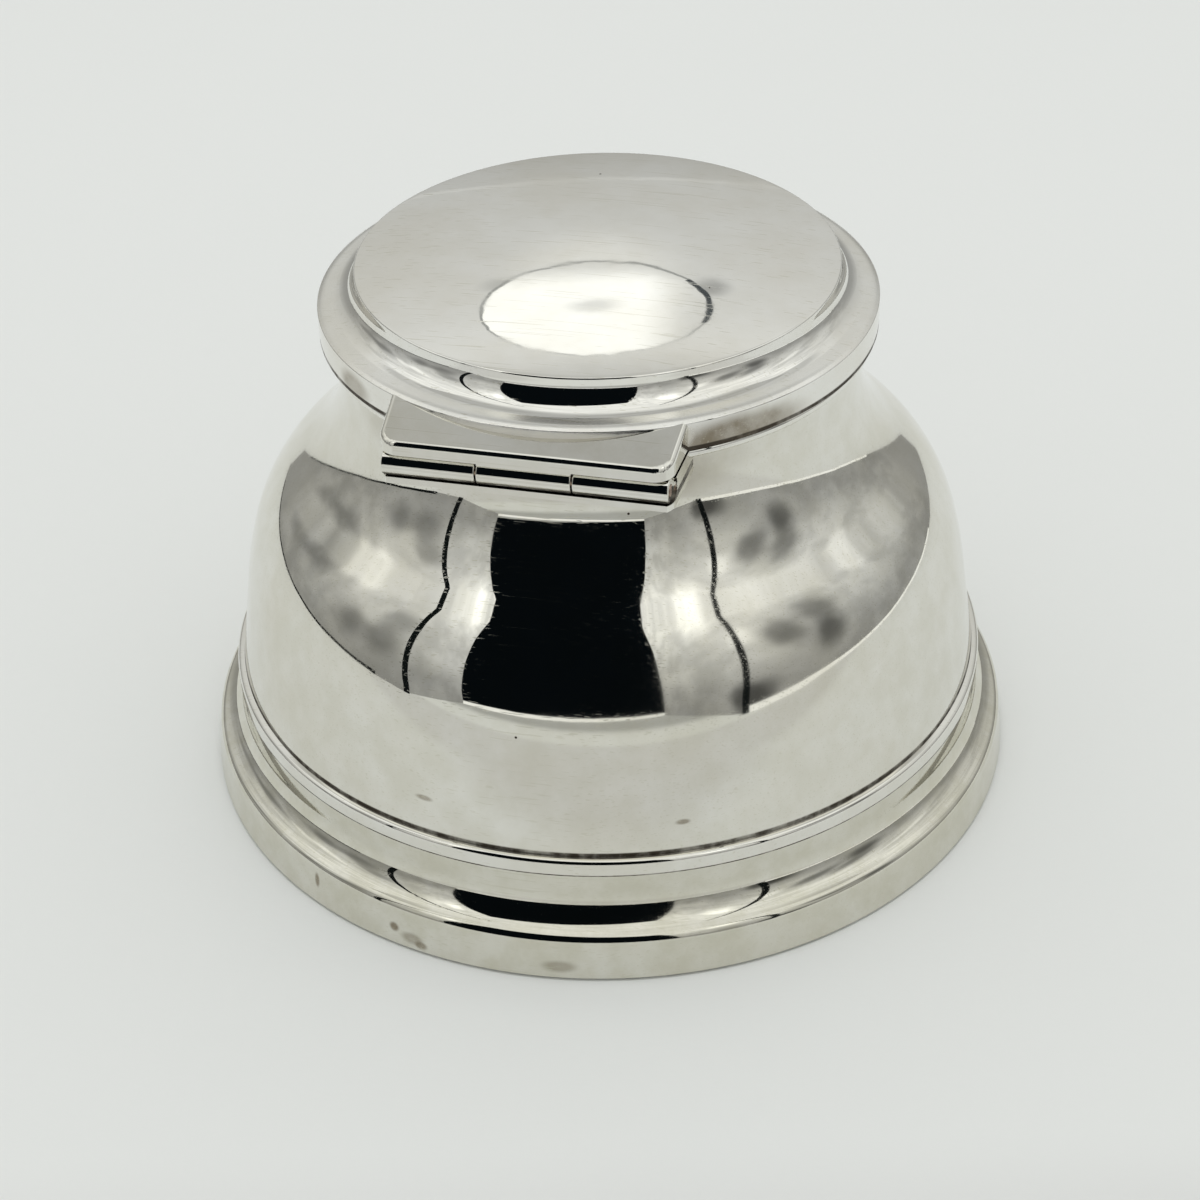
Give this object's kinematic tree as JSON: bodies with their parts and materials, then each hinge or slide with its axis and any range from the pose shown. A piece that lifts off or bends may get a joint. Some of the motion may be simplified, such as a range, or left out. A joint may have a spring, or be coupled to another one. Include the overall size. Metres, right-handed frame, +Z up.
{
  "type": "capstan inkwell",
  "caption": "Round capstan desk inkwell: bell-shaped polished metal body on a moulded foot, domed lid on a knuckle hinge, and a loose glass ink pot inside.",
  "frame": {"origin": "middle of the underside, on the plane that the foot ring rests on", "axes": "+Z up along the body's axis of turning; -Y towards the lid's hinge; X along the hinge pin, +X to the right when the hinge faces the viewer"},
  "size_m": [0.088, 0.088, 0.0585],
  "materials": {
    "polished_silver": "old polished silver with fine scratches and brown tarnish in the creases",
    "well_metal": "dull unpolished silver with a light tarnish",
    "pin_steel": "plain drawn wire with filed ends",
    "clear_glass": "clear moulded glass, fire-polished lip",
    "base_wood": "plain unvarnished hardwood",
    "green_baize": "woollen baize",
    "black_pitch": "hard black pitch"
  },
  "bodies": {
    "base": {"foot_ring": "polished_silver", "body_shell": "polished_silver", "reeded_wire": "polished_silver", "mouth_collar": "polished_silver", "well_sleeve": "well_metal", "ink_pot": "clear_glass", "base_baize": "green_baize", "base_board": "base_wood", "pitch_filling": "black_pitch", "lower_hinge_leaf": "polished_silver", "hinge_knuckle_left": "polished_silver", "hinge_knuckle_right": "polished_silver", "hinge_pin": "pin_steel"},
    "lid": {"lid_shell": "polished_silver", "lid_bezel": "well_metal", "lid_lining": "well_metal", "upper_hinge_leaf": "polished_silver", "hinge_knuckle_centre": "polished_silver"}
  },
  "joints": [
    {"name": "lid_hinge", "type": "hinge", "parent": "base", "child": "lid", "pos_m": [0, -0.02958, 0.04969], "axis": [1, 0, 0], "range_deg": [0, 110]}
  ]
}
